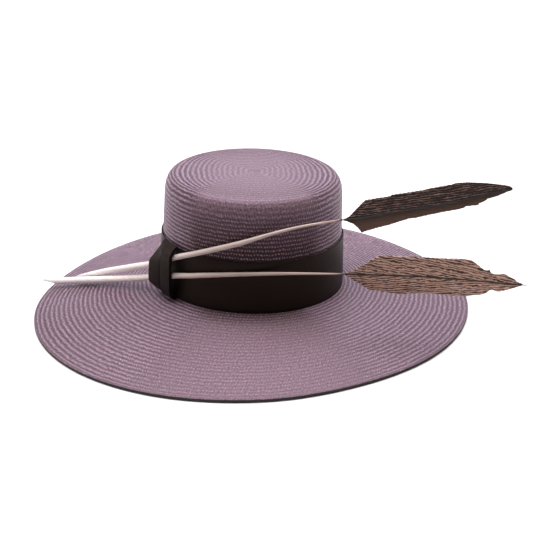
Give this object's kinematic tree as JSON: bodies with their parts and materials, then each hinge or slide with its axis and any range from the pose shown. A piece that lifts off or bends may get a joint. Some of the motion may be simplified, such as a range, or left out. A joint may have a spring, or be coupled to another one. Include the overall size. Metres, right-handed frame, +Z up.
{
  "type": "wide-brimmed straw boater hat with two feathers",
  "caption": "Woven straw hat with a flat-topped drum crown, wide sloping brim, tall leather band, and long feathers held in a leather knot.",
  "frame": {"origin": "on the surface that the hat lies on, under the middle of its whole length and width", "axes": "+X towards the back of the hat, the way the feathers point; +Y towards its right side; +Z up"},
  "size_m": [0.5376, 0.4584, 0.1842],
  "materials": {
    "straw": "woven sisal straw, mauve, satin",
    "leather": "smooth, near-black brown",
    "quill": "bare feather shaft, cream",
    "dark_vane": "feather, dark brown",
    "pale_vane": "feather, tan mottled with brown"
  },
  "bodies": {
    "root": {"crown_side": "straw", "crown_shoulder": "straw", "crown_tip": "straw", "brim": "straw", "hat_band": "leather", "knot_wrap": "leather", "knot_strap": "leather", "upper_quill": "quill", "lower_quill": "quill", "upper_feather": "dark_vane", "lower_feather": "pale_vane"}
  },
  "joints": []
}
